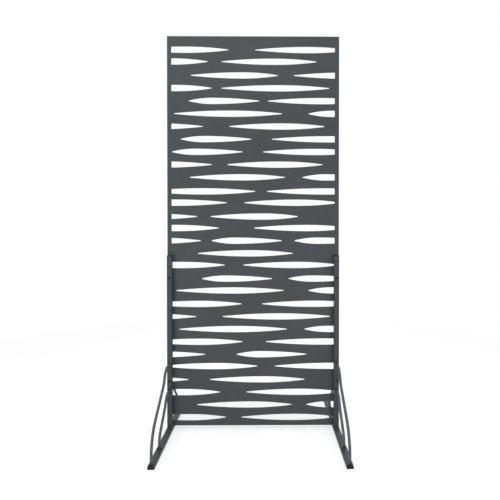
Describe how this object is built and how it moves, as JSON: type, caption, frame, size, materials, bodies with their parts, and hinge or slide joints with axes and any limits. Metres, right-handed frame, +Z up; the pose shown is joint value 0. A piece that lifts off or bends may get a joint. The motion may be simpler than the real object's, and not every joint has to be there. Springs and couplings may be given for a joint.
{
  "type": "garden privacy screen",
  "caption": "Free-standing garden privacy screen: a tall folded sheet with leaf-shaped slots, held by uprights on flat feet with curved braces.",
  "frame": {"origin": "on the ground, at the centre of the screen's footprint", "axes": "+Z up, +X across the screen to the right as seen from the side the uprights are on, +Y towards the sheet side"},
  "size_m": [0.87, 0.7, 1.99],
  "materials": {
    "coated_sheet": "matt powder coat, anthracite",
    "coated_tube": "matt powder coat, anthracite",
    "coated_bar": "satin powder coat, anthracite",
    "black_plastic": "fine grained, black",
    "black_steel": "black finish on steel",
    "zinc_steel": "zinc plated"
  },
  "bodies": {
    "root": {"privacy_panel": "coated_sheet", "left_post": "coated_tube", "left_post_insert": "zinc_steel", "left_post_cap": "black_plastic", "left_foot_tube": "coated_tube", "left_foot_bolt": "zinc_steel", "left_foot_front_cap": "black_plastic", "left_foot_rear_cap": "black_plastic", "left_outer_brace": "coated_bar", "left_front_brace": "coated_bar", "left_rear_brace": "coated_bar", "left_foot_screws": "black_steel", "left_panel_bolts": "black_steel", "left_panel_nuts": "zinc_steel", "left_brace_bolts": "black_steel", "left_brace_nuts": "zinc_steel", "left_washers": "zinc_steel", "right_post": "coated_tube", "right_post_insert": "zinc_steel", "right_post_cap": "black_plastic", "right_foot_tube": "coated_tube", "right_foot_bolt": "zinc_steel", "right_foot_front_cap": "black_plastic", "right_foot_rear_cap": "black_plastic", "right_outer_brace": "coated_bar", "right_front_brace": "coated_bar", "right_rear_brace": "coated_bar", "right_foot_screws": "black_steel", "right_panel_bolts": "black_steel", "right_panel_nuts": "zinc_steel", "right_brace_bolts": "black_steel", "right_brace_nuts": "zinc_steel", "right_washers": "zinc_steel"}
  },
  "joints": []
}
